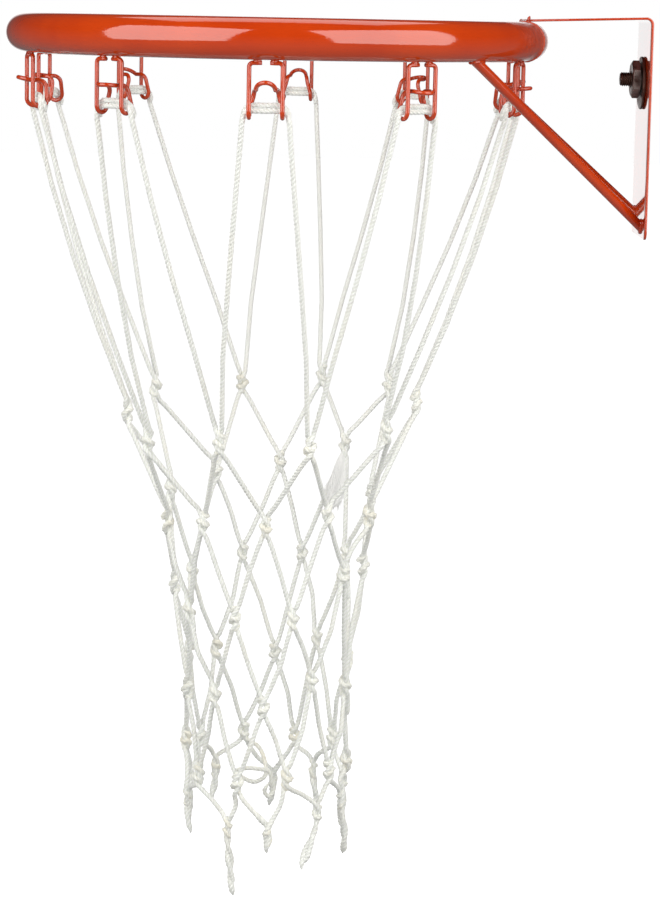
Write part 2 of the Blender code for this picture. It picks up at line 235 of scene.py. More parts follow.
def add_hole(piece, name, shape):
    """Cut a bmesh's shape out of a piece, and give back the cutter."""
    mesh = bpy.data.meshes.new(name)
    shape.to_mesh(mesh)
    shape.free()
    cutter = add_object(name, mesh)
    cut = piece.modifiers.new(name, "BOOLEAN")
    cut.object = cutter
    cut.solver = "EXACT"
    return cutter


def apply_shape(piece, cutter, sharp_degrees):
    """Make a piece's modifiers its own mesh, and drop the cutter."""
    bpy.context.view_layer.update()
    evaluated = piece.evaluated_get(bpy.context.evaluated_depsgraph_get())
    shaped = bpy.data.meshes.new_from_object(evaluated)
    piece.modifiers.clear()
    piece.data = shaped
    bpy.data.objects.remove(cutter)
    shaped.shade_smooth()
    shaped.set_sharp_from_angle(angle=math.radians(sharp_degrees))


def frames_along(points, closed=False):
    """Two side directions at each point, turning as little as they can on the way."""
    count = len(points)
    tangents = []
    for i in range(count):
        before = points[i - 1] if closed or i else points[0]
        after = points[(i + 1) % count] if closed or i + 1 < count else points[-1]
        tangents.append((after - before).normalized())
    side = tangents[0].orthogonal().normalized()
    start = side
    found = []
    for tangent in tangents:
        side = (side - tangent * side.dot(tangent)).normalized()
        found.append((side, tangent.cross(side)))
    if closed:
        end = (side - tangents[0] * side.dot(tangents[0])).normalized()
        slip = math.atan2(tangents[0].cross(start).dot(end), start.dot(end))
        for i, (a, b) in enumerate(found):
            turn = -slip * i / count
            found[i] = (a * math.cos(turn) + b * math.sin(turn), b * math.cos(turn) - a * math.sin(turn))
    return found


def round_angles(steps):
    """Evenly spaced angles once round a circle, in radians."""
    return [2 * math.pi * k / steps for k in range(steps)]


def hoops(rows, steps):
    """Faces between rows of steps points each, from the last row back to the first."""
    faces = []
    for i in range(rows):
        here, there = i * steps, (i + 1) % rows * steps
        for k in range(steps):
            nxt = (k + 1) % steps
            faces.append((here + k, here + nxt, there + nxt, there + k))
    return faces


def join_on(shell, faces, points, joined):
    """Add more points and their faces to a shell."""
    base = len(shell)
    shell += points
    faces += [tuple(base + v for v in face) for face in joined]


def swept(points, sides, radius_at, closed=False, twist_at=None):
    """Points and faces of a tube; radius_at(i, angle) is its radius at point i, and
    twist_at(i) turns the whole section there, so that faces run along a twist."""
    frames = frames_along(points, closed)
    count = len(points)
    shell = []
    for i, (middle, (a, b)) in enumerate(zip(points, frames)):
        twist = twist_at(i) if twist_at else 0.0
        for around in round_angles(sides):
            angle = around + twist
            radius = radius_at(i, angle)
            shell.append(middle + a * (radius * math.cos(angle)) + b * (radius * math.sin(angle)))
    faces = hoops(count, sides)
    if not closed:
        del faces[-sides:]
        faces.append(tuple(reversed(range(sides))))
        faces.append(tuple((count - 1) * sides + k for k in range(sides)))
    return shell, faces


def at_ring(degrees, across=0.0, out=0.0, height=0.0, radius=None):
    """A point given round the ring, sideways and outwards there, and up."""
    radius = RIM_RADIUS if radius is None else radius
    angle = math.radians(degrees)
    outward = Vector((math.cos(angle), math.sin(angle), 0))
    sideways = Vector((-math.sin(angle), math.cos(angle), 0))
    return RIM_CENTRE + outward * (radius + out) + sideways * across + Vector((0, 0, height))


def arc(centre, radius, start, end, steps):
    found = []
    for i in range(steps + 1):
        angle = math.radians(start + (end - start) * i / steps)
        found.append((centre[0] + radius * math.cos(angle), centre[1] + radius * math.sin(angle)))
    return found


def mix(a, b, t):
    return a * (1 - t) + b * t


def ease(t):
    t = min(max(t, 0.0), 1.0)
    return t * t * (3 - 2 * t)


def curve_through(controls, step):
    """Evenly spaced points on a smooth curve through control tuples of vectors."""
    count = len(controls)
    at = [0.0]
    for before, after in zip(controls, controls[1:]):
        at.append(at[-1] + max((after[0] - before[0]).length, 1e-6))
    slopes = []
    for i in range(count):
        a, b = max(i - 1, 0), min(i + 1, count - 1)
        slopes.append([(q - p) / (at[b] - at[a]) for p, q in zip(controls[a], controls[b])])
    found = []
    for i in range(count - 1):
        span = at[i + 1] - at[i]
        pieces = max(1, round(span / step))
        for j in range(pieces + (i == count - 2)):
            t = j / pieces
            h = (2 * t**3 - 3 * t**2 + 1, t**3 - 2 * t**2 + t, 3 * t**2 - 2 * t**3, t**3 - t**2)
            found.append([
                h[0] * p + h[1] * span * m + h[2] * q + h[3] * span * n
                for p, m, q, n in zip(controls[i], slopes[i], controls[i + 1], slopes[i + 1])
            ])
    return found


def smooth_line(points, step=CORD_STEP):
    """Evenly spaced points on a smooth curve through plain points."""
    return [found[0] for found in curve_through([(point,) for point in points], step)]


# ---- material helpers ---------------------------------------------------
SPREAD_SOCKETS = ("From Min", "From Max", "To Min", "To Max")


class Nodes:
    """Short ways to add shader nodes to one material."""

    def __init__(self, name):
        self.material = bpy.data.materials.new(name)
        self.material.use_nodes = True
        self.tree = self.material.node_tree
        self.shader = self.tree.nodes["Principled BSDF"]

    def add(self, kind, **settings):
        node = self.tree.nodes.new(kind)
        for key, value in settings.items():
            setattr(node, key, value)
        return node

    def link(self, source, target):
        self.tree.links.new(source, target)

    def here(self):
        return self.add("ShaderNodeTexCoord").outputs["Object"]

    def noise(self, where, scale, detail=3.0, roughness=0.5):
        node = self.add("ShaderNodeTexNoise")
        node.inputs["Scale"].default_value = scale
        node.inputs["Detail"].default_value = detail
        node.inputs["Roughness"].default_value = roughness
        self.link(where, node.inputs["Vector"])
        return node.outputs["Fac"]

    def spread(self, value, low, high, to_low=0.0, to_high=1.0):
        node = self.add("ShaderNodeMapRange", interpolation_type="SMOOTHSTEP")
        for key, number in zip(SPREAD_SOCKETS, (low, high, to_low, to_high)):
            node.inputs[key].default_value = number
        self.link(value, node.inputs["Value"])
        return node.outputs["Result"]

    def maths(self, operation, a, b=None):
        node = self.add("ShaderNodeMath", operation=operation)
        for slot, value in enumerate((a, b)):
            if value is None:
                continue
            if isinstance(value, (int, float)):
                node.inputs[slot].default_value = value
            else:
                self.link(value, node.inputs[slot])
        return node.outputs[0]

    def blend(self, share, a, b):
        """Colour a where share is 0 and b where it is 1; each a socket or a colour."""
        node = self.add("ShaderNodeMix", data_type="RGBA")
        self.link(share, node.inputs["Factor"])
        for socket, value in ((node.inputs[6], a), (node.inputs[7], b)):
            if isinstance(value, tuple):
                socket.default_value = (*value, 1)
            else:
                self.link(value, socket)
        return node.outputs[2]

    def bump(self, height, strength, distance, under=None):
        node = self.add("ShaderNodeBump")
        node.inputs["Strength"].default_value = strength
        node.inputs["Distance"].default_value = distance
        self.link(height, node.inputs["Height"])
        if under:
            self.link(under, node.inputs["Normal"])
        return node.outputs["Normal"]

    def near(self, point, inner, outer):
        """1 within inner of a point, falling to 0 at outer."""
        node = self.add("ShaderNodeVectorMath", operation="DISTANCE")
        self.link(self.here(), node.inputs[0])
        node.inputs[1].default_value = point
        return self.spread(node.outputs["Value"], inner, outer, 1.0, 0.0)

    def set(self, **values):
        for key, value in values.items():
            socket = self.shader.inputs[key.replace("_", " ")]
            if isinstance(value, (int, float)):
                socket.default_value = value
            else:
                self.link(value, socket)
        return self.material


def make_orange(name, gloss):
    """Glossy orange powder coat: orange peel, slow colour drift, rough weld patches."""
    n = Nodes(name)
    n.shader.inputs["Coat Weight"].default_value = gloss
    n.shader.inputs["Coat Roughness"].default_value = 0.03
    here = n.here()
    drift = n.noise(here, 14.0)
    fine = n.noise(here, 420.0, 2.0)
    specks = n.noise(here, 900.0, 1.0)
    patch = n.near(tuple(at_ring(BURNT_ANGLE)), 0.020, 0.062)
    edges = n.add("ShaderNodeNewGeometry").outputs["Pointiness"]
    worn = n.maths("MULTIPLY", n.spread(edges, 0.56, 0.64), n.spread(drift, 0.50, 0.62))
    colour = n.blend(n.spread(drift, 0.30, 0.70), (0.575, 0.042, 0.0020), (0.655, 0.056, 0.0026))
    speckled = n.maths("MULTIPLY", n.spread(specks, 0.66, 0.72), 0.35)
    colour = n.blend(speckled, colour, (0.420, 0.036, 0.003))
    colour = n.blend(n.maths("MULTIPLY", worn, 0.55), colour, (0.300, 0.030, 0.006))
    rough = n.spread(drift, 0.30, 0.75, 0.055, 0.10)
    rough = n.maths("ADD", rough, n.maths("MULTIPLY", patch, 0.03))
    rough = n.maths("ADD", rough, n.maths("MULTIPLY", worn, 0.20))
    lumps = n.maths("MULTIPLY", n.noise(here, 230.0, 5.0, 0.65), patch)
    peel = n.bump(fine, 0.10, 0.0004)
    both = n.bump(lumps, 0.85, 0.0030, peel)
    level = 0.75 + 0.2 * gloss
    return n.set(Base_Color=colour, Roughness=rough, Normal=both, Specular_IOR_Level=level)


def make_steel(name, scales, edge, patches, colours, rubbed_colour, share, roughness):
    """Dark oxide on steel, browner in places, rubbed bright on its crests."""
    n = Nodes(name)
    here = n.here()
    cloud = n.noise(here, scales[0], 5.0, 0.6)
    grain = n.noise(here, scales[1], 2.0)
    edges = n.add("ShaderNodeNewGeometry").outputs["Pointiness"]
    rubbed = n.maths("MULTIPLY", n.spread(edges, *edge), n.spread(cloud, *patches))
    colour = n.blend(n.spread(cloud, 0.35, 0.65), *colours)
    colour = n.blend(n.maths("MULTIPLY", rubbed, share), colour, rubbed_colour)
    return n.set(
        Base_Color=colour,
        Roughness=n.spread(cloud, 0.30, 0.70, *roughness),
        Normal=n.bump(grain, 0.25, 0.00015),
        Metallic=0.85,
    )


def make_cord(name, light, shade, tint, tint_share):
    """Twisted off-white cord: filaments along each strand, painted shade in the grooves between strands,
    dirt tints, soft sheen and a painted glow.
    """
    n = Nodes(name)
    here = n.here()
    lay = n.add("ShaderNodeAttribute", attribute_name="lay")
    along = n.add("ShaderNodeSeparateXYZ")
    n.link(lay.outputs["Vector"], along.inputs[0])
    crest = along.outputs[2]
    across_waves = n.maths("MULTIPLY", along.outputs[1], 6.0)
    waves = n.maths("ADD", across_waves, n.maths("MULTIPLY", along.outputs[0], 420.0))
    filaments = n.maths("SINE", n.maths("MULTIPLY", waves, 2 * math.pi))
    fuzz = n.noise(here, 2600.0, 2.0)
    blotch = n.noise(here, 34.0, 3.0)
    # painted shade: the grooves between the strands are darker and the crests lighter
    colour = n.blend(n.spread(crest, 0.62, 0.98), shade, light)
    colour = n.blend(n.maths("MULTIPLY", n.spread(blotch, 0.50, 0.66), tint_share), colour, tint)
    colour = n.blend(n.maths("MULTIPLY", n.spread(fuzz, 0.35, 0.65), 0.12), colour, shade)
    threads = n.bump(n.maths("MULTIPLY", filaments, 0.5), 0.35, 0.00018)
    hairs = n.bump(fuzz, 0.30, 0.00015, threads)
    n.shader.inputs["Sheen Weight"].default_value = 0.15
    # painted light: the cord glows faintly with its crest colour
    n.shader.inputs["Emission Color"].default_value = (*light, 1)
    n.shader.inputs["Emission Strength"].default_value = CORD_PAINTED_GLOW
    n.shader.inputs["Specular IOR Level"].default_value = 0.3
    rough = n.spread(blotch, 0.3, 0.7, 0.78, 0.92)
    return n.set(Base_Color=colour, Roughness=rough, Normal=hairs)


ORANGE = make_orange("orange_powder_coat", 0.5)
PLATE_ORANGE = make_orange("orange_plate_coat", 1.0)
STEEL = make_steel(
    "dark_oxide_steel",
    scales=(120.0, 1500.0),
    edge=(0.53, 0.62),
    patches=(0.35, 0.60),
    colours=((0.050, 0.021, 0.015), (0.110, 0.050, 0.034)),
    rubbed_colour=(0.46, 0.43, 0.41),
    share=0.75,
    roughness=(0.30, 0.52),
)
THIN_OXIDE = make_steel(
    "phosphated_steel",
    scales=(90.0, 1300.0),
    edge=(0.52, 0.60),
    patches=(0.30, 0.60),
    colours=((0.085, 0.038, 0.028), (0.175, 0.092, 0.068)),
    rubbed_colour=(0.52, 0.49, 0.47),
    share=0.7,
    roughness=(0.28, 0.46),
)
# Each cord's colours: its crests, the painted shade of its grooves, its dirt tint, and how much of that
# tint
CORD = make_cord("white_cord", (0.90, 0.91, 0.88), (0.64, 0.66, 0.61), (0.86, 0.84, 0.76), 0.40)
KNOT_CORD = make_cord("knotted_cord", (0.90, 0.90, 0.85), (0.68, 0.69, 0.62), (0.83, 0.78, 0.64), 0.60)
FRAYED = make_cord("frayed_cord", (0.93, 0.93, 0.92), (0.86, 0.86, 0.85), (0.90, 0.89, 0.86), 0.4)


# ---- camera, floor and light --------------------------------------------
def make_camera():
    """At the ring's height, a little right of its centre, and pitched a little down."""
    data = bpy.data.cameras.new("camera")
    data.lens = CAMERA_LENS
    data.shift_y = CAMERA_SHIFT
    camera = add_object("camera", data)
    camera.location = (RIM_CENTRE.x + CAMERA_RIGHT, -CAMERA_AWAY, CAMERA_HEIGHT)
    camera.rotation_mode = "XYZ"
    camera.rotation_euler = (math.radians(90 - CAMERA_PITCH), math.radians(CAMERA_ROLL), 0)
    bpy.context.scene.camera = camera


def make_world():
    """White to the eye; as light, a white backdrop beyond the object and a dim room."""
    world = bpy.data.worlds.new("studio")
    bpy.context.scene.world = world
    world.use_nodes = True
    nodes, link = world.node_tree.nodes, world.node_tree.links.new
    nodes.clear()
    output = nodes.new("ShaderNodeOutputWorld")
    seen = nodes.new("ShaderNodeBackground")
    seen.inputs["Color"].default_value = (1, 1, 1, 1)
    seen.inputs["Strength"].default_value = 1.0
    lights = nodes.new("ShaderNodeBackground")
    direction = nodes.new("ShaderNodeSeparateXYZ")
    link(nodes.new("ShaderNodeTexCoord").outputs["Generated"], direction.inputs[0])

    def spread(source, low, high, to_low, to_high):
        node = nodes.new("ShaderNodeMapRange")
        for key, number in zip(SPREAD_SOCKETS, (low, high, to_low, to_high)):
            node.inputs[key].default_value = number
        link(source, node.inputs["Value"])
        return node.outputs["Result"]

    backdrop = spread(direction.outputs["Y"], 0.945, 0.982, 0.0, BACKDROP_LIGHT)
    room = spread(direction.outputs["Z"], -0.6, 0.3, 0.30, 0.05)
    total = nodes.new("ShaderNodeMath")
    total.operation = "MAXIMUM"
    link(backdrop, total.inputs[0])
    link(room, total.inputs[1])
    link(total.outputs[0], lights.inputs["Strength"])
    choose = nodes.new("ShaderNodeMixShader")
    link(nodes.new("ShaderNodeLightPath").outputs["Is Camera Ray"], choose.inputs[0])
    link(lights.outputs[0], choose.inputs[1])
    link(seen.outputs[0], choose.inputs[2])
    link(choose.outputs[0], output.inputs["Surface"])


def make_softbox(name, azimuth, elevation, distance, width, height, radiance):
    """A soft panel that faces the ring's centre; azimuth 0 is the camera's side."""
    data = bpy.data.lights.new(name, "AREA")
    data.shape = "RECTANGLE"
    data.size = width
    data.size_y = height
    data.energy = radiance * math.pi * width * height
    data.color = SOFTBOX_COLOUR
    light = add_object(name, data)
    turn, lift = math.radians(azimuth), math.radians(elevation)
    away = Vector((math.sin(turn) * math.cos(lift), -math.cos(turn) * math.cos(lift), math.sin(lift)))
    light.location = RIM_CENTRE + away * distance
    light.rotation_mode = "QUATERNION"
    light.rotation_quaternion = away.to_track_quat("Z", "Y")
    light.visible_camera = False


def make_floor():
    n = Nodes("pale_floor")
    grain = n.noise(n.here(), 3.0)
    colour = n.blend(grain, (0.90, 0.90, 0.90), (0.93, 0.93, 0.93))
    n.shader.inputs["Emission Color"].default_value = (1, 1, 1, 1)
    n.shader.inputs["Emission Strength"].default_value = 1.0
    n.set(Base_Color=colour, Roughness=0.9)
    half = FLOOR_HALF
    low = cad_low.z - FLOOR_BELOW
    corners = [(-half, -half, low), (half, -half, low), (half, half, low), (-half, half, low)]
    floor = add_piece("floor", corners, [(0, 1, 2, 3)], n.material)
    floor.visible_diffuse = False
    floor.visible_glossy = False
    floor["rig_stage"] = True


make_camera()
make_world()
for panel_name, panel in SOFTBOXES.items():
    make_softbox(panel_name, *panel)
make_floor()
bpy.context.scene.view_settings.view_transform = "Standard"
bpy.context.scene.view_settings.look = "None"


# ---- the net ------------------------------------------------------------
def knot_angle(row, index):
    angle = HOOK_ANGLES[index]
    if row % 2 == 0:
        following = HOOK_ANGLES[index + 1] if index + 1 < HOOK_COUNT else HOOK_ANGLES[0] + 360
        angle = (angle + following) / 2
    return angle + KNOT_TURNS.get((row, index), 0)


def knot_of(row, index, side):
    """Which of a row's knots one cord passes, and which side of it the cord is on."""
    if row % 2:
        return index, side
    return (index if side > 0 else (index - 1) % HOOK_COUNT), -side


def hung(row, tied_depth):
    """The hanging net's radius and height, from a row and a tied depth in millimetres."""
    depth = tied_depth / 1000
    stretch = NET_STRETCH + NET_STRETCH_PER_METRE * depth
    return NET_ROWS[row][0] * stretch, -depth * stretch


def knot_place(row, knot, above=0.0):
    radius, height = hung(row, NET_ROWS[row][1][knot])
    return at_ring(knot_angle(row, knot), 0, 0, above + height, radius)


def sideways_at(degrees):
    angle = math.radians(degrees)
    return Vector((-math.sin(angle), math.cos(angle), 0))


def cord_controls(index, side):
    """Pairs of points: where a cord's pair runs, and the cord's own offset from it."""
    none = Vector((0, 0, 0))
    start = -HOOK_LEG_OFFSET
    height = OVER_HOOK[0][1]
    controls = [(at_ring(HOOK_ANGLES[index], start, -HOOK_TURN_RADIUS, height), none)]
    if side > 0:
        controls.append((at_ring(HOOK_ANGLES[index], 0, -HOOK_TURN_RADIUS, height), none))
        controls.append((at_ring(HOOK_ANGLES[index], OVER_HOOK[1][0], -HOOK_TURN_RADIUS, height), none))
    for across, height in OVER_HOOK[2:]:
        controls.append((at_ring(HOOK_ANGLES[index], side * across, -HOOK_TURN_RADIUS, height), none))
    hooked = controls[-1][0]
    first = knot_place(0, knot_of(0, index, side)[0], KNOT_HALF)
    for share in (0.25, 0.5, 0.75):
        point = mix(hooked, first, share)
        outward = Vector((point.x - RIM_CENTRE.x, point.y, 0)).normalized()
        controls.append((point + outward * (4 * CORD_BOW * share * (1 - share)), none))
    for row in range(len(NET_ROWS)):
        knot, place = knot_of(row, index, side)
        offset = sideways_at(knot_angle(row, knot)) * (place * CORD_PAIR_OFFSET)
        for above in (KNOT_HALF, -KNOT_HALF):
            controls.append((knot_place(row, knot, above), offset))
    last = len(NET_ROWS) - 1
    radius, height = hung(last, TAIL_DEPTHS[index])
    if side < 0:
        height += 0.002 + 0.001 * (index % 3)
    around = knot_angle(last, index)
    end = at_ring(around, TAIL_LEANS[index] / 1000, 0, height, radius)
    controls.append((end, sideways_at(around) * (side * CORD_PAIR_OFFSET)))
    return controls


def add_slack(controls, index, side):
    """The controls, with a small sideways bend in the middle of each knotted span."""
    rng = random.Random(100 + 2 * index + side)
    found = []
    for before, after in zip(controls, controls[1:]):
        found.append(before)
        lean = Vector((rng.uniform(-1, 1), rng.uniform(-1, 1), rng.uniform(-0.3, 0.3)))
        span = (after[0] - before[0]).length
        deep = ease((SLACK_TOP - before[0].z) / SLACK_FADE)
        if 3 * KNOT_HALF < span < 0.12 and deep > 0:
            middle, offset = (mix(p, q, 0.5) for p, q in zip(before, after))
            found.append((middle + lean * (CORD_SLACK * deep), offset))
    found.append(controls[-1])
    return found


def eased_controls(controls):
    """The controls, with two more in each long span so that it runs straight there."""
    found = []
    for before, after in zip(controls, controls[1:]):
        found.append(before)
        span = (after[0] - before[0]).length
        if span > 3 * KNOT_HALF:
            for share in (STRAIGHT_AFTER / span, 1 - STRAIGHT_AFTER / span):
                found.append(tuple(mix(p, q, share) for p, q in zip(before, after)))
    found.append(controls[-1])
    return found


def turned(offset, angle):
    """The offset turned about the vertical."""
    across = Vector((-offset.y, offset.x, 0))
    return offset * math.cos(angle) + across * math.sin(angle)


def hand_of(row, knot):
    """Which way round a knot is wound."""
    return 1 if (knot * 7 + row * 3) % 5 < 3 else -1


def winding(index, side, height):
    """(turn, closing up) of a cord round its partner at a height, over all knots."""
    angle, tight = 0.0, 0.0
    for row in range(len(NET_ROWS)):
        knot, _ = knot_of(row, index, side)
        down = (knot_place(row, knot).z + KNOT_WIND - height) / (2 * KNOT_WIND)
        if down <= 0:
            break
        hand = hand_of(row, knot)
        share = min(down, 1.0)
        if row < len(NET_ROWS) - 1:
            angle += hand * 2 * math.pi * (0.6 * share + 0.4 * ease(share))
            tight = math.sin(math.pi * share) ** 2 if down < 1 else 0.0
        else:
            angle += hand * 2 * math.pi * down * 2 * KNOT_WIND / TAIL_LAY
            tight = ease(2 * share) * (1 - TAIL_TIGHT) / (1 - KNOT_TIGHT)
    return angle, tight


def cord_line(index, side):
    """The cord's own centre line as points, and how far it is squeezed at each."""
    line, squeeze = [], []
    controls = add_slack(cord_controls(index, side), index, side)
    for middle, offset in curve_through(eased_controls(controls), CORD_STEP):
        angle, tight = winding(index, side, middle.z)
        closer = 1 - (1 - KNOT_TIGHT) * tight
        line.append(middle + turned(offset, angle) * closer)
        squeeze.append(1 - 0.10 * min(tight, 1.0))
    return line, squeeze


def tail_shape(index, side, left):
    """A cord end's thickness, by the length left to its tip: waists, a bulb, a round tip."""
    if left > TAIL_LENGTH:
        return 1.0
    swell = 1 + 0.34 * ease((TAIL_LENGTH - left) / 0.012)
    waves = 1 + 0.07 * math.sin(left * 330 + index * 1.7 + side)
    bulb = 1 + (0.24 if index % 2 == 0 else 0.05) * math.exp(-((left - 0.008) / 0.005) ** 2)
    tip = min(1.0, math.sqrt(max(left, 0.0001) / 0.0045))
    slim = mix(0.78, 1.0, left / TAIL_LENGTH)
    return swell * waves * bulb * tip * slim


def strand_radius(angle):
    """The three-strand cross-section's radius, as a share of the cord's."""
    third = 2 * math.pi / 3
    inside = (angle + third / 2) % third - third / 2
    return 1 - CORD_GROOVE * (1 - math.cos(inside))


def set_lay(piece, values):
    """Give each point its length along, its turn round, and how near a crest it is."""
    lay = piece.data.attributes.new("lay", "FLOAT_VECTOR", "POINT")
    lay.data.foreach_set("vector", values)


def rope_mesh(name, line, thickness, material, phase=0.0):
    """A three-strand cord along the line, with the values its material reads."""
    travelled = [0.0]
    for a, b in zip(line, line[1:]):
        travelled.append(travelled[-1] + (b - a).length)

    def turn_at(i):
        return 2 * math.pi * travelled[i] / CORD_LAY + phase

    def radius_at(i, angle):
        return CORD_RADIUS * thickness[i] * strand_radius(angle - turn_at(i))

    shell, faces = swept(line, CORD_SIDES, radius_at, twist_at=turn_at)
    piece = add_piece(name, shell, faces, material)
    values = []
    for gone in travelled:
        for angle in round_angles(CORD_SIDES):
            values += [gone, angle * 3 / (2 * math.pi), strand_radius(angle)]
    set_lay(piece, values)
    return piece


def make_net_cord(index, side):
    """Half a hook's cord, from the hook down to its end, hiding its CAD solids."""
    letter = "b" if side > 0 else "a"
    number = f"{index + 1:02d}"
    line, squeeze = cord_line(index, side)
    total = sum((b - a).length for a, b in zip(line, line[1:]))
    gone = 0.0
    thickness = []
    for i, share in enumerate(squeeze):
        if i:
            gone += (line[i] - line[i - 1]).length
        thickness.append(share * tail_shape(index, side, total - gone))
    piece = rope_mesh(f"net_cord_{number}_{letter}", line, thickness, CORD, index * 0.7)
    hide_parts(f"net_loop_{number}", f"net_strand_{number}_{letter}")
    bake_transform(piece)


def make_knot_wrap(row, knot):
    """The cord drawn slantwise round the two cords of a knot, as one lumpy piece."""
    rng = random.Random(row * 31 + knot)
    last_row = row == len(NET_ROWS) - 1
    centre = knot_place(row, knot)
    hand = hand_of(row, knot)
    turns = rng.uniform(1.5, 2.2)
    tall = rng.uniform(0.0140, 0.0185)
    start = rng.uniform(0, 2 * math.pi)
    shift = rng.uniform(-0.0015, 0.0015)
    wide = rng.uniform(0.0032, 0.0038) * (0.75 if last_row else 1.0)
    steps = int(turns * 26)
    line, thickness = [], []
    for i in range(steps + 1):
        t = i / steps
        angle = start + hand * 2 * math.pi * (turns * t + 0.07 * math.sin(4 * math.pi * t))
        end = min(t, 1 - t)
        reach = mix(0.0008, wide + 0.0003 * math.sin(5 * angle + knot), ease(end / 0.16))
        height = shift + (0.5 - t) * tall + 0.0011 * math.sin(2 * angle + knot)
        line.append(centre + Vector((math.cos(angle) * reach, math.sin(angle) * reach, height)))
        plump = 0.72 + 0.34 * ease(end / 0.30) + 0.05 * math.sin(i * 0.5 + row)
        thickness.append(plump * (0.8 if last_row else 1))
    name = f"net_knot_{row + 1}_{knot + 1:02d}"
    piece = rope_mesh(name, line, thickness, KNOT_CORD, start)
    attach(piece, "net")
    return piece


def make_hook_wrap(index):
    """The cord's second pass through a hook, over the first, its ends tucked behind."""
    degrees = HOOK_ANGLES[index]
    out = -HOOK_TURN_RADIUS
    half = ((0.0, 0.0, -0.0498), (0.0098, 0.0, -0.0499), (0.0142, -0.0006, -0.0516),
            (0.0166, -0.0020, -0.0552), (0.0172, -0.0034, -0.0595), (0.0166, -0.0038, -0.0632))
    route = [(-across, back, height) for across, back, height in reversed(half[1:])] + list(half)
    points = [at_ring(degrees, across, out + back, height) for across, back, height in route]
    line = smooth_line(points)
    last = len(line) - 1
    thickness = [0.97 * min(1.0, 0.45 + 0.2 * min(i, last - i)) for i in range(len(line))]
    name = f"net_hook_wrap_{index + 1:02d}"
    piece = rope_mesh(name, line, thickness, CORD, index * 1.1)
    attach(piece, "frame")


def make_cord_stub(name, top, down):
    """A short cut end of cord that hangs beside a knot."""
    line = smooth_line([top, mix(top, down, 0.5) + Vector((0.001, 0, 0)), down])
    last = len(line) - 1
    thickness = [0.85 * min(1.0, 0.5 + 0.2 * (last - i)) for i in range(len(line))]
    piece = rope_mesh(name, line, thickness, CORD)
    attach(piece, "net")


def make_tassel(row, knot):
    """A frayed cord end: loose filaments that fan out as they hang from a knot."""
    rng = random.Random(5)
    top = knot_place(row, knot, -0.004)
    drift = Vector((-0.0065, -0.002, 0))
    shell, faces, values = [], [], []
    for _ in range(FRAYED_FILAMENTS):
        lean = Vector((rng.uniform(-1, 1), rng.uniform(-1, 1), 0)) * 0.0075
        length = rng.uniform(*FRAYED_LENGTHS)
        fan = rng.uniform(0.6, 1.15)
        controls = [
            top + lean * 0.18,
            top + lean * 0.75 * fan + drift * 0.3 + Vector((0, 0, -length * 0.35)),
            top + lean * fan + drift * 0.8 + Vector((rng.uniform(-1, 1) * 0.001, 0, -length * 0.7)),
            top + lean * fan * 0.9 + drift * 1.5 + Vector((rng.uniform(-1, 1) * 0.003, 0, -length)),
        ]
        made, joined = swept(smooth_line(controls, 0.0035), 4, lambda i, angle: FRAYED_RADIUS)
        join_on(shell, faces, made, joined)
        values += [0.0, 0.0, rng.uniform(0.6, 1.0)] * len(made)
    set_lay(add_piece("net_frayed_end", shell, faces, FRAYED, "net"), values)


def make_loose_loop():
    """A slack doubled cord that hangs inside the net's mouth, ending in a small eye."""
    start = knot_place(4, 2, -0.006)
    low = Vector((start.x + 0.021, start.y - 0.020, -0.652))
    shape = ((0, 0, 0), (-0.009, 0.002, -0.008), (-0.019, 0.001, -0.005), (-0.026, -0.002, 0.003),
             (-0.017, -0.003, 0.006), (-0.006, -0.002, 0.005), (0.003, 0, 0.002), (0.006, 0.001, -0.008),
             (0.007, 0.002, -0.016), (0.003, 0.001, -0.021), (-0.001, 0, -0.016), (0.002, -0.001, -0.009))
    controls = [start, mix(start, low, 0.45) + Vector((0.006, 0, 0.004))]
    line = smooth_line(controls + [low + Vector(step) for step in shape])
    last = len(line) - 1
    thickness = [0.95 * min(1.0, 0.5 + 0.12 * min(i + 3, last - i)) for i in range(len(line))]
    piece = rope_mesh("net_loose_loop", line, thickness, KNOT_CORD)
    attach(piece, "net")


def make_net():
    for index in range(HOOK_COUNT):
        wraps = [make_knot_wrap(row, index) for row in range(len(NET_ROWS))]
        make_net_cord(index, 1)
        make_net_cord(index, -1)
        make_hook_wrap(index)
    make_tassel(1, 1)
    make_loose_loop()
    for order, (row, knot, drop) in enumerate(LOOSE_ENDS):
        top = knot_place(row, knot, -0.004) + sideways_at(knot_angle(row, knot)) * 0.005
        down = top + Vector((0.001, 0, -drop))
        make_cord_stub(f"net_loose_end_{order + 1}", top, down)


make_net()


# ---- the ring and its welds ---------------------------------------------
def lumpy(points, radius, closed=True, seed=0, depth=0.22, sides=14):
    """Points and faces of a weld bead: a fat line with ripples and lumps."""
    shift = Vector((seed * 3.1, seed * 1.7, seed * 0.9))

    def radius_at(i, angle):
        ripple = 0.10 * math.sin(i * 1.9 + seed)
        around = Vector((math.cos(angle), math.sin(angle), 0))
        lump = noise.noise(points[i] * 420 + shift + around * 0.6)
        taper = 1.0
        if not closed:
            ends = min(i, len(points) - 1 - i)
            taper = min(1.0, 0.35 + 0.25 * ends)
        return radius * taper * (1 + ripple + depth * lump)

    return swept(points, sides, radius_at, closed)


def make_bead(name, points, radius, closed=True, seed=0):
    shell, faces = lumpy(points, radius, closed, seed)
    add_piece(name, shell, faces, ORANGE, "frame")


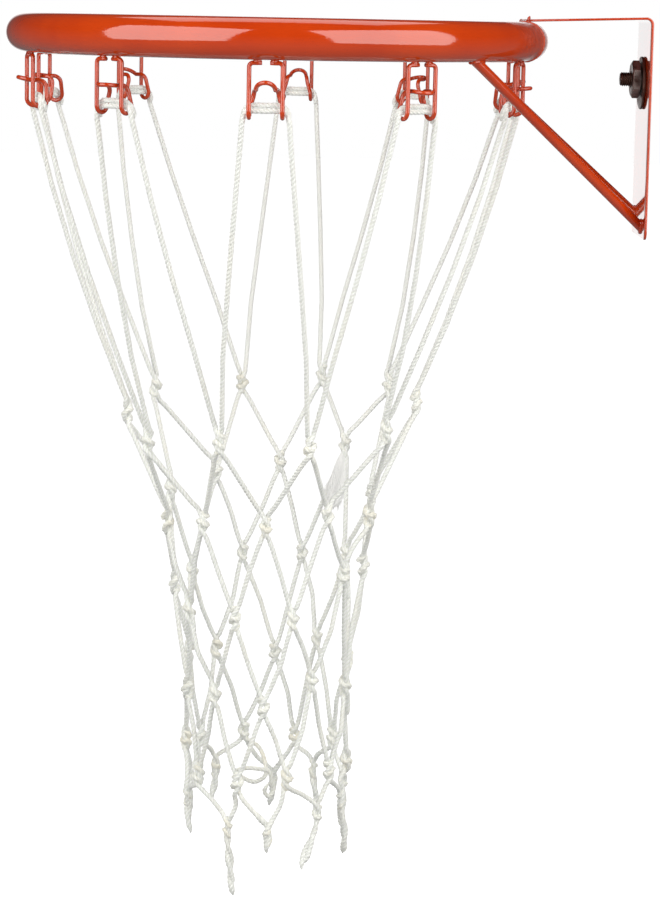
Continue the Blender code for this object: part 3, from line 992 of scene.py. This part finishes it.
def make_ring():
    """The round tube, with its vent hole below."""
    around, across = 288, 56
    shell = []
    for i in range(around):
        degrees = 360 * i / around
        for angle in round_angles(across):
            out, height = TUBE_RADIUS * math.cos(angle), TUBE_RADIUS * math.sin(angle)
            shell.append(at_ring(degrees, 0, out, height))
    faces = [tuple(reversed(face)) for face in hoops(around, across)]
    ring = add_piece("ring_tube", shell, faces, ORANGE)
    drill = bmesh.new()
    bmesh.ops.create_cone(
        drill, cap_ends=True, segments=40, radius1=VENT_RADIUS, radius2=VENT_RADIUS, depth=0.012
    )
    below = at_ring(VENT_ANGLE, height=-TUBE_RADIUS - 0.0035)
    bmesh.ops.translate(drill, verts=drill.verts, vec=below)
    apply_shape(ring, add_hole(ring, "vent_drill", drill), 40)
    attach(ring, "frame")
    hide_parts("rim_ring")


def make_butt_weld():
    """The bead round the tube where its two ends meet, beside the bracket."""
    points = []
    reach = TUBE_RADIUS - 0.0006
    for angle in round_angles(84):
        sway = 0.0006 * math.sin(3 * angle) + 0.0004 * math.sin(7 * angle)
        out, height = reach * math.cos(angle), reach * math.sin(angle)
        points.append(at_ring(BUTT_WELD_ANGLE, sway, out, height))
    make_bead("ring_butt_weld", points, 0.0014, seed=3)


def make_plate_welds():
    """The bead along the top plate's front edge, and a small weld spike near one end of it."""
    edge_x = RIM_CENTRE.x + RIM_RADIUS - PLATE_OVER_CREST
    half = PLATE_HIGH.y - 0.010
    top = TUBE_RADIUS + 0.0004
    points = []
    for i in range(57):
        y = -half + 2 * half * i / 56
        inside = math.sqrt(RIM_RADIUS**2 - y**2)
        lean = RIM_CENTRE.x + inside - edge_x
        drop = TUBE_RADIUS - math.sqrt(TUBE_RADIUS**2 - min(lean, 0) ** 2)
        points.append(Vector((edge_x - 0.0006, y, top - drop)))
    make_bead("top_plate_weld", points, 0.0017, closed=False, seed=5)
    foot = points[4]
    spike = [foot + Vector((0.0022 * i / 8, 0, 0.0052 * i / 8 - 0.0008)) for i in range(9)]
    make_bead("weld_spike", spike, 0.0013, closed=False, seed=9)


def make_bracket():
    """One plate bent into an L, its edges eased as a press leaves them."""
    rise = math.radians(PLATE_RISE)
    crest = RIM_CENTRE.x + RIM_RADIUS

    def top_surface(x):
        return TUBE_RADIUS + GAP + PLATE_THICKNESS / math.cos(rise) + (x - crest) * math.tan(rise)

    start = crest - PLATE_OVER_CREST
    bend_x = -PLATE_BEND_RADIUS
    bend_z = top_surface(bend_x) - PLATE_BEND_RADIUS / math.cos(rise)
    profile = []
    for i in range(13):
        x = mix(start, bend_x + PLATE_BEND_RADIUS * math.cos(math.pi / 2 + rise), i / 12)
        profile.append((x, top_surface(x)))
    for i in range(1, 17):
        angle = (math.pi / 2 + rise) * (1 - i / 16)
        across, up = PLATE_BEND_RADIUS * math.cos(angle), PLATE_BEND_RADIUS * math.sin(angle)
        profile.append((bend_x + across, bend_z + up))
    for i in range(1, 21):
        profile.append((0.0, mix(profile[28][1], PLATE_LOW.z, i / 20)))
    shape = bmesh.new()
    columns = 13
    rows = []
    for x, z in profile:
        sides = [mix(PLATE_LOW.y, PLATE_HIGH.y, k / (columns - 1)) for k in range(columns)]
        rows.append([shape.verts.new((x, y, z)) for y in sides])
    for first, second in zip(rows, rows[1:]):
        for k in range(columns - 1):
            shape.faces.new((first[k], second[k], second[k + 1], first[k + 1]))
    corners = [rows[0][0], rows[0][-1], rows[-1][0], rows[-1][-1]]
    bmesh.ops.bevel(
        shape,
        geom=corners,
        offset=PLATE_CORNER * 0.98,
        offset_type="OFFSET",
        segments=8,
        profile=0.5,
        affect="VERTICES",
    )
    shape.normal_update()
    mesh = bpy.data.meshes.new("bracket_plate")
    shape.to_mesh(mesh)
    shape.free()
    mesh.materials.append(PLATE_ORANGE)
    bracket = add_object("bracket_plate", mesh)
    shell = bracket.modifiers.new("thickness", "SOLIDIFY")
    shell.thickness = PLATE_THICKNESS
    shell.offset = -1
    half = BOLT_NECK / 2 + GAP
    punch = bmesh.new()
    bmesh.ops.create_cube(punch, size=1)
    bmesh.ops.scale(punch, verts=punch.verts, vec=(0.012, 2 * half, 2 * half))
    bmesh.ops.translate(punch, verts=punch.verts, vec=(0, 0, BOLT_HEIGHT))
    cutter = add_hole(bracket, "square_punch", punch)
    ease_edges = bracket.modifiers.new("edges", "BEVEL")
    ease_edges.width = 0.00045
    ease_edges.segments = 3
    ease_edges.limit_method = "ANGLE"
    ease_edges.angle_limit = math.radians(40)
    apply_shape(bracket, cutter, 50)
    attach(bracket, "frame")
    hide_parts("mounting_bracket")


def tube_gap(point):
    """How far a point is outside the ring's tube."""
    flat = Vector((point.x - RIM_CENTRE.x, point.y - RIM_CENTRE.y))
    return math.hypot(flat.length - RIM_RADIUS, point.z - RIM_CENTRE.z) - TUBE_RADIUS


def make_strut(name):
    """A round rod, saddled on the tube and cut flush on the plate, welded at both ends."""
    foot_y, foot_z = ROD_FEET[name]
    side = math.copysign(1, ROD_TOP_ANGLES[name])
    top = at_ring(ROD_TOP_ANGLES[name], height=-TUBE_RADIUS / 2)
    foot = Vector((PLATE_THICKNESS, foot_y, foot_z))
    along = (foot - top).normalized()
    a = along.orthogonal().normalized()
    b = along.cross(a)
    sides, rows = 40, 60
    shell, upper, lower = [], [], []
    for angle in round_angles(sides):
        outward = a * math.cos(angle) + b * math.sin(angle)
        edge = top + outward * ROD_RADIUS
        near, far = 0.0, 0.05
        for _ in range(30):
            middle = (near + far) / 2
            if tube_gap(edge + along * middle) < GAP:
                near = middle
            else:
                far = middle
        begin = edge + along * far
        stop = edge + along * ((-PLATE_THICKNESS - GAP - edge.x) / along.x)
        upper.append(begin)
        lower.append(stop)
        for i in range(rows + 1):
            shell.append(mix(begin, stop, i / rows))
    faces = []
    for k in range(sides):
        here, there = k * (rows + 1), ((k + 1) % sides) * (rows + 1)
        for i in range(rows):
            faces.append((here + i, here + i + 1, there + i + 1, there + i))
    faces.append(tuple(k * (rows + 1) for k in range(sides)))
    faces.append(tuple(k * (rows + 1) + rows for k in reversed(range(sides))))
    rod = add_piece(f"{name}_rod", shell, faces, ORANGE, "frame")
    rod.data.set_sharp_from_angle(angle=math.radians(50))
    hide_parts(name)
    word = name.split("_")[-1]
    make_bead(f"strut_weld_top_{word}", upper, BEAD_RADIUS, seed=7 + side)
    make_bead(f"strut_weld_foot_{word}", lower, BEAD_RADIUS, seed=11 + side)


# ---- the net hooks ------------------------------------------------------
def half_hook(lift_at_tip):
    """(across, out, height) from a stub's end, down a leg, round the U, to the tongue."""
    leg = HOOK_LEG_OFFSET
    tongue = HOOK_TONGUE_OFFSET
    back = -2 * HOOK_TURN_RADIUS
    level = HOOK_RISE_TOP + HOOK_TONGUE_BEND
    bend = arc((leg - HOOK_STUB_BEND, STUB_HEIGHT - HOOK_STUB_BEND), HOOK_STUB_BEND, 90, 0, 7)
    points = [(HOOK_STUB_GAP, 0, STUB_HEIGHT), (mix(HOOK_STUB_GAP, bend[0][0], 0.5), 0, STUB_HEIGHT)]
    points += [(across, 0, height) for across, height in bend]
    for i in range(1, 6):
        points.append((leg, 0, mix(bend[-1][1], HOOK_TURN_HEIGHT, i / 6)))
    turn = arc((-HOOK_TURN_RADIUS, HOOK_TURN_HEIGHT), HOOK_TURN_RADIUS, 0, -180, 14)
    points += [(leg, out, height) for out, height in turn]
    foot, shoulder, narrow = tongue + 0.0012, tongue - 0.0006, tongue - 0.0014
    for i in range(1, 6):
        height = mix(HOOK_TURN_HEIGHT, HOOK_RISE_TOP, i / 6)
        points.append((mix(leg, foot, i / 6), back, height))
    over = arc((back + HOOK_TONGUE_BEND, HOOK_RISE_TOP), HOOK_TONGUE_BEND, 180, 90, 8)
    for i, (out, height) in enumerate(over):
        points.append((mix(foot, shoulder, i / 8), out, height))
    tip = arc((0, HOOK_TONGUE_REACH), tongue, 0, 80, 8)
    for across, out in tip:
        lift = lift_at_tip * (out - HOOK_TONGUE_REACH) / tongue
        points.append((across * narrow / tongue, out, level + lift))
    return points


def make_hook(index):
    half = half_hook(HOOK_TONGUE_LIFTS[index])
    level = HOOK_RISE_TOP + HOOK_TONGUE_BEND + HOOK_TONGUE_LIFTS[index]
    tip = (0, HOOK_TONGUE_REACH + HOOK_TONGUE_OFFSET, level)
    mirrored = [(-across, out, height) for across, out, height in reversed(half)]
    points = [at_ring(HOOK_ANGLES[index], *place) for place in half + [tip] + mirrored]
    last = len(points) - 1

    def radius_at(i, angle):
        return WIRE_RADIUS * (0.9 if i in (0, last) else 1.0)

    shell, faces = swept(points, 16, radius_at)
    number = f"{index + 1:02d}"
    hook = add_piece(f"hook_wire_{number}", shell, faces, ORANGE, "frame")
    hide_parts(f"net_hook_{number}")
    shell, faces = [], []
    for side in (-1, 1):
        points = []
        for i in range(7):
            across = side * mix(HOOK_STUB_GAP + 0.0004, HOOK_LEG_OFFSET - 0.0030, i / 6)
            points.append(at_ring(HOOK_ANGLES[index], across, 0.0, -TUBE_RADIUS - 0.0006))
        join_on(shell, faces, *lumpy(points, 0.0021, False, index * 2 + side, 0.35, 12))
    add_piece(f"hook_weld_{number}", shell, faces, ORANGE, "frame")


# ---- the fastener -------------------------------------------------------
def along_bolt(radius, height, angle):
    """A point round the bolt's axis; height is the distance out of the wall."""
    return Vector((-height, radius * math.cos(angle), BOLT_HEIGHT + radius * math.sin(angle)))


def thread_height(height, angle):
    """From 0 in a thread's root to 1 on its crest."""
    turn = (height / THREAD_PITCH + angle / (2 * math.pi)) % 1.0
    return min(1.0, max(0.0, 1.35 * (1 - abs(2 * turn - 1)) - 0.15))


def make_bolt():
    """A square-necked bolt with a rolled thread."""
    end = -BOLT_LOW.x
    steps = 72
    start = PLATE_THICKNESS
    rows = [(0.00001, 2 * GAP, 0), (BOLT_RADIUS - 0.0001, 2 * GAP, 0), (BOLT_RADIUS - 0.0001, start, 0)]
    count = int((end - start) / (THREAD_PITCH / 9))
    for i in range(1, count + 1):
        height = mix(start, end - 0.0002, i / count)
        rows.append((BOLT_RADIUS - 0.00005, height, 1))
    rows.append((BOLT_RADIUS - 0.0016, end, 0))
    rows.append((0.00001, end, 0))
    shell, faces = [], []
    for radius, height, threaded in rows:
        for angle in round_angles(steps):
            reach = radius
            if threaded:
                reach -= THREAD_DEPTH * (1 - thread_height(height, angle))
                reach = min(reach, BOLT_RADIUS - 0.0014 + (end - height))
            shell.append(along_bolt(reach, height, angle))
    for i in range(len(rows) - 1):
        for k in range(steps):
            nxt = (k + 1) % steps
            faces.append((i * steps + k, (i + 1) * steps + k, (i + 1) * steps + nxt, i * steps + nxt))
    faces.append(tuple(range(steps)))
    faces.append(tuple((len(rows) - 1) * steps + k for k in reversed(range(steps))))
    half = BOLT_NECK / 2
    neck = []
    for x in (-PLATE_THICKNESS, BOLT_HIGH.x):
        neck += [Vector((x, y, BOLT_HEIGHT + z)) for y in (-half, half) for z in (-half, half)]
    box = ((0, 1, 3, 2), (4, 6, 7, 5), (0, 4, 5, 1), (2, 3, 7, 6), (0, 2, 6, 4), (1, 5, 7, 3))
    join_on(shell, faces, neck, box)
    bolt = add_piece("bolt_threaded", shell, faces, STEEL, "frame")
    bolt.data.set_sharp_from_angle(angle=math.radians(48))
    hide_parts("mounting_bolt")


def make_nut():
    """A hexagon nut with 30 degree corner chamfers and a threaded bore."""
    near, far = -NUT_HIGH.x, -NUT_LOW.x
    corner = (NUT_HIGH.y - NUT_LOW.y) / 2
    flat = corner * math.cos(math.pi / 6)
    if NUT_HIGH.z - NUT_LOW.z > NUT_HIGH.y - NUT_LOW.y:
        corner, flat = (NUT_HIGH.z - NUT_LOW.z) / 2, (NUT_HIGH.y - NUT_LOW.y) / 2
    steps = 120
    washer_circle = flat * 0.96
    bore = BOLT_RADIUS + 0.00025
    rows = []
    levels = 26
    for i in range(levels + 1):
        rows.append(("bore", mix(near + 0.0006, far - 0.0006, i / levels)))
    rows += [("sink", far), ("ring", far), ("edge", far), ("edge", near), ("ring", near), ("sink", near)]
    shell = []
    for kind, height in rows:
        for around in round_angles(steps):
            angle = around + math.pi / 2
            inside = (angle - math.pi / 2) % (math.pi / 3) - math.pi / 6
            hexagon = min(flat / math.cos(inside), corner - 0.0002)
            at = height
            if kind == "bore":
                radius = bore + 0.0003 * (1 - thread_height(height, angle))
            elif kind == "sink":
                radius = bore + 0.0009
            elif kind == "ring":
                radius = washer_circle
            else:
                radius = hexagon
                slope = (hexagon - washer_circle) * math.tan(math.radians(30))
                at = height - slope if height == far else height + slope
            shell.append(along_bolt(radius, at, angle))
    faces = hoops(len(rows), steps)
    nut = add_piece("nut_hexagon", shell, faces, THIN_OXIDE, "nut")
    nut.data.set_sharp_from_angle(angle=math.radians(28))
    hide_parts("hex_nut")


def make_washer():
    """A wide stamped washer, its four edges eased round alike."""
    near, far = -WASHER_HIGH.x, -WASHER_LOW.x
    middle = (WASHER_LOW.z + WASHER_HIGH.z) / 2
    radius = (WASHER_HIGH.z - WASHER_LOW.z) / 2
    inner = WASHER_BORE_RADIUS
    ease_by = 0.0006
    profile = []
    for x, r, start in ((far, radius, 0), (near, radius, 90), (near, inner, 180), (far, inner, 270)):
        sign_r = -1 if r == radius else 1
        sign_x = -1 if x == far else 1
        centre_r, centre_x = r + sign_r * ease_by, x + sign_x * ease_by
        for i in range(5):
            lift = math.radians(i * 22.5)
            a, b = math.sin(lift), math.cos(lift)
            if start not in (0, 180):
                a, b = b, a
            profile.append((centre_r - sign_r * ease_by * a, centre_x - sign_x * ease_by * b))
    steps = 120
    shell = []
    for r, x in profile:
        for angle in round_angles(steps):
            shell.append(Vector((-x, r * math.cos(angle), middle + r * math.sin(angle))))
    faces = hoops(len(profile), steps)
    washer = add_piece("washer_wide", shell, faces, THIN_OXIDE, "washer")
    washer.data.set_sharp_from_angle(angle=math.radians(40))
    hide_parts("flat_washer")


make_ring()
make_butt_weld()
make_plate_welds()
make_bracket()
for strut_name in ROD_FEET:
    make_strut(strut_name)
for hook_index in range(HOOK_COUNT):
    make_hook(hook_index)
make_bolt()
make_nut()
make_washer()


# ---- normals and the end ------------------------------------------------
def face_outwards():
    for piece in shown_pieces():
        if piece.type != "MESH" or "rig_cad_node" in piece:
            continue
        shape = bmesh.new()
        shape.from_mesh(piece.data)
        bmesh.ops.recalc_face_normals(shape, faces=shape.faces)
        shape.to_mesh(piece.data)
        shape.free()


face_outwards()
